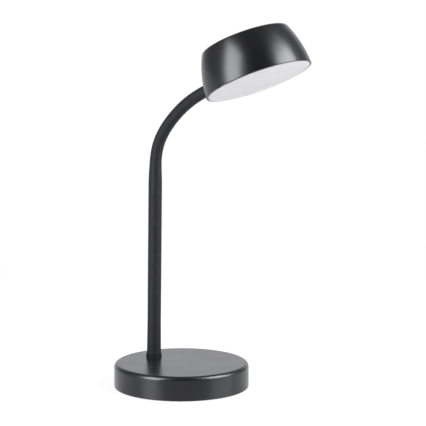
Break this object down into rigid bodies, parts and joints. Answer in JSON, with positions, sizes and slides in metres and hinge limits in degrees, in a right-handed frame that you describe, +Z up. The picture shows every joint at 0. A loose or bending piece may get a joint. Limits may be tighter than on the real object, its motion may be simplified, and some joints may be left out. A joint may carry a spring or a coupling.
{
  "type": "gooseneck desk lamp",
  "caption": "Desk lamp with a weighted round base, an upright stem, a bendable sleeved neck and a drum-shaped head that has a flat opal diffuser and a push button on top.",
  "frame": {"origin": "centre of the underside of the base, on the resting plane", "axes": "+Z up, +X the way the lamp reaches from its stem towards its head; the arm lies in the XZ plane at rest"},
  "size_m": [0.1939, 0.12, 0.3325],
  "materials": {
    "black_shell": "satin",
    "black_button": "fine matte",
    "black_trim": "matte",
    "black_sleeve": "satin",
    "grey_pad": "matte",
    "ballast_steel": "raw",
    "zinc_steel": "zinc plated",
    "arm_steel": "drawn",
    "lead_jacket": "matte",
    "green_board": "satin",
    "white_board": "white solder mask",
    "led_yellow": "gloss",
    "sink_aluminium": "cast",
    "white_reflector": "matte",
    "opal_diffuser": "opal, softly frosted",
    "switch_black": "matte"
  },
  "bodies": {
    "base": {"base_cover": "black_shell", "ballast_plate": "ballast_steel", "base_plate": "black_trim", "foot_pad": "grey_pad", "base_screws": "zinc_steel", "power_board": "green_board", "power_socket": "zinc_steel", "board_screws": "zinc_steel", "root_ferrule": "arm_steel", "root_washer": "zinc_steel", "root_nut": "zinc_steel", "stem_collar": "black_trim", "stem_tube": "arm_steel", "stem_sleeve": "black_sleeve", "stem_lead": "lead_jacket", "neck_socket": "arm_steel"},
    "neck_1": {"neck_sleeve_1": "black_sleeve", "neck_core_1": "arm_steel", "neck_lead_1": "lead_jacket"},
    "neck_2": {"neck_sleeve_2": "black_sleeve", "neck_core_2": "arm_steel", "neck_lead_2": "lead_jacket"},
    "neck_3": {"neck_sleeve_3": "black_sleeve", "neck_core_3": "arm_steel", "neck_lead_3": "lead_jacket"},
    "neck_4": {"neck_sleeve_4": "black_sleeve", "neck_core_4": "arm_steel", "neck_lead_4": "lead_jacket"},
    "neck_5": {"neck_sleeve_5": "black_sleeve", "neck_core_5": "arm_steel", "neck_lead_5": "lead_jacket"},
    "neck_6": {"neck_sleeve_6": "black_sleeve", "neck_core_6": "arm_steel", "neck_lead_6": "lead_jacket"},
    "neck_7": {"neck_sleeve_7": "black_sleeve", "neck_core_7": "arm_steel", "neck_lead_7": "lead_jacket"},
    "neck_8": {"neck_sleeve_8": "black_sleeve", "neck_core_8": "arm_steel", "neck_lead_8": "lead_jacket"},
    "neck_9": {"neck_sleeve_9": "black_sleeve", "neck_core_9": "arm_steel", "neck_lead_9": "lead_jacket"},
    "head": {"head_shell": "black_shell", "diffuser": "opal_diffuser", "reflector": "white_reflector", "led_board": "white_board", "led_chips": "led_yellow", "heat_sink": "sink_aluminium", "head_screws": "zinc_steel", "tip_sleeve": "black_sleeve", "tip_ferrule": "arm_steel", "tip_washer": "zinc_steel", "tip_nut": "zinc_steel", "head_lead": "lead_jacket", "tact_switch": "switch_black", "switch_board": "green_board", "switch_lead": "lead_jacket"},
    "button": {"switch_button": "black_button"}
  },
  "joints": [
    {"name": "neck_swing_1", "type": "hinge", "parent": "base", "child": "neck_1", "pos_m": [-0.03129, 0, 0.1946], "axis": [0.9989, 0, -0.0462], "range_deg": [-16, 16]},
    {"name": "neck_bend_2", "type": "hinge", "parent": "neck_1", "child": "neck_2", "pos_m": [-0.03041, 0, 0.20607], "axis": [0, 1, 0], "range_deg": [-28, 4]},
    {"name": "neck_bend_3", "type": "hinge", "parent": "neck_2", "child": "neck_3", "pos_m": [-0.02716, 0, 0.2171], "axis": [0, 1, 0], "range_deg": [-29.5, 2.5]},
    {"name": "neck_bend_4", "type": "hinge", "parent": "neck_3", "child": "neck_4", "pos_m": [-0.02143, 0, 0.22707], "axis": [0, 1, 0], "range_deg": [-25, 7]},
    {"name": "neck_swing_5", "type": "hinge", "parent": "neck_4", "child": "neck_5", "pos_m": [-0.01421, 0, 0.23602], "axis": [0.7472, 0, -0.6646], "range_deg": [-16, 16]},
    {"name": "neck_bend_6", "type": "hinge", "parent": "neck_5", "child": "neck_6", "pos_m": [-0.00616, 0, 0.24423], "axis": [0, 1, 0], "range_deg": [-21, 11]},
    {"name": "neck_bend_7", "type": "hinge", "parent": "neck_6", "child": "neck_7", "pos_m": [0.00257, 0, 0.25172], "axis": [0, 1, 0], "range_deg": [-21, 11]},
    {"name": "neck_bend_8", "type": "hinge", "parent": "neck_7", "child": "neck_8", "pos_m": [0.01192, 0, 0.25841], "axis": [0, 1, 0], "range_deg": [-21.5, 10.5]},
    {"name": "neck_swing_9", "type": "hinge", "parent": "neck_8", "child": "neck_9", "pos_m": [0.02187, 0, 0.26418], "axis": [0.4749, 0, -0.8801], "range_deg": [-16, 16]},
    {"name": "neck_bend_10", "type": "hinge", "parent": "neck_9", "child": "head", "pos_m": [0.03215, 0, 0.26933], "axis": [0, 1, 0], "range_deg": [-16.5, 15.5]},
    {"name": "switch_press", "type": "slide", "parent": "head", "child": "button", "axis": [0.4399, 0, -0.898], "range_m": [0, 0.0008], "stiffness_N_per_m": 300, "springref_m": -0.004}
  ]
}
